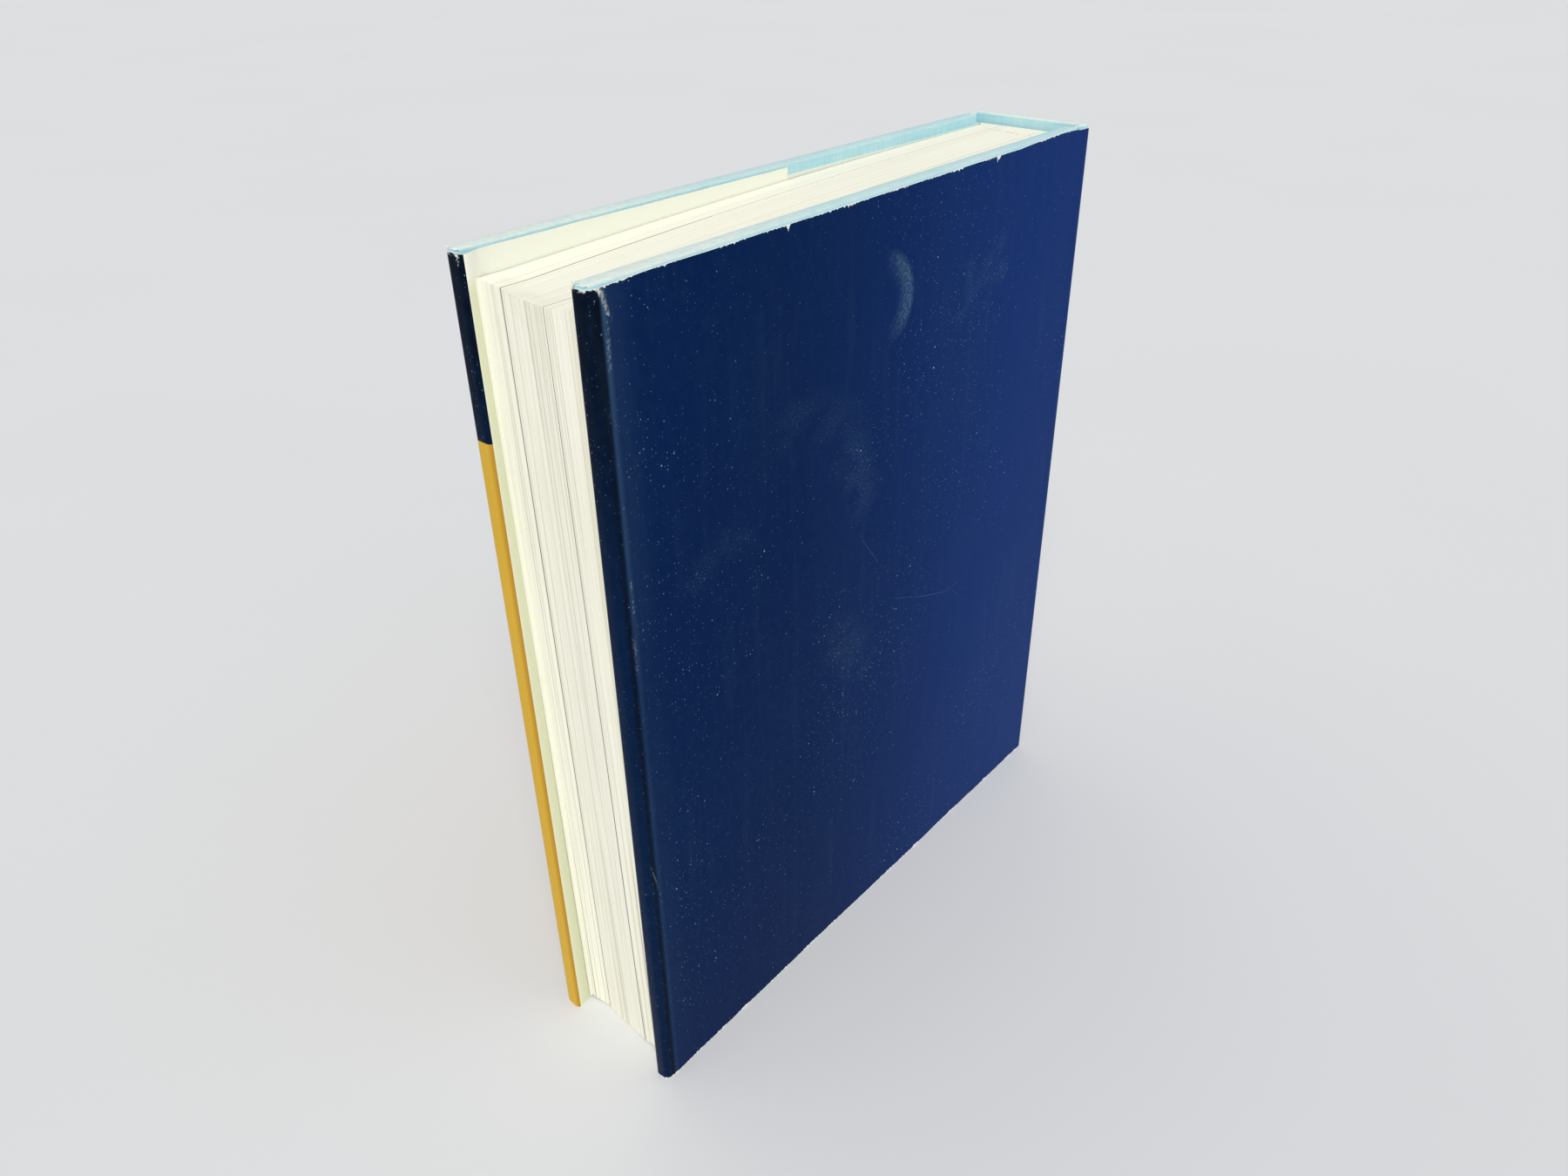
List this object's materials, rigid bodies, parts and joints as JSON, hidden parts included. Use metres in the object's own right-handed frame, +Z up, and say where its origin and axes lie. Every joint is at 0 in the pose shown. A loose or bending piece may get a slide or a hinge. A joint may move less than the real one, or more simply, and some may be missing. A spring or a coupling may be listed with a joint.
{
  "type": "hardcover book",
  "caption": "Case-bound hardcover book in a glossy paper jacket, standing upright, with cloth-covered boards, endpapers and two covers that open.",
  "frame": {"origin": "middle of the footprint, on the ground under the standing book", "axes": "+X from the fore-edge to the spine, +Y from the back cover to the front cover, +Z up along the spine"},
  "size_m": [0.203, 0.046, 0.24],
  "materials": {
    "pages": "trimmed cream book paper",
    "board": "grey bookbinding board",
    "cloth": "fine pale blue book cloth",
    "endpaper": "smooth cream endpaper",
    "gauze": "open-weave gauze set in glue",
    "jacket": "glossy varnished paper, dark navy with an ochre field"
  },
  "bodies": {
    "book_body": {"text_block": "pages", "spine_gauze": "gauze", "spine_board": "board", "spine_cloth": "cloth", "jacket_spine": "jacket", "front_flyleaf": "endpaper", "back_flyleaf": "endpaper"},
    "front_cover": {"front_board": "board", "front_cloth": "cloth", "front_gauze": "gauze", "front_pastedown": "endpaper", "jacket_front": "jacket"},
    "back_cover": {"back_board": "board", "back_cloth": "cloth", "back_gauze": "gauze", "back_pastedown": "endpaper", "jacket_back": "jacket"}
  },
  "joints": [
    {"name": "front_cover_hinge", "type": "hinge", "parent": "book_body", "child": "front_cover", "pos_m": [0.09642, 0.02025, 0], "axis": [0, 0, -1], "range_deg": [0, 179]},
    {"name": "back_cover_hinge", "type": "hinge", "parent": "book_body", "child": "back_cover", "pos_m": [0.09642, -0.02025, 0], "axis": [0, 0, 1], "range_deg": [0, 179]}
  ]
}
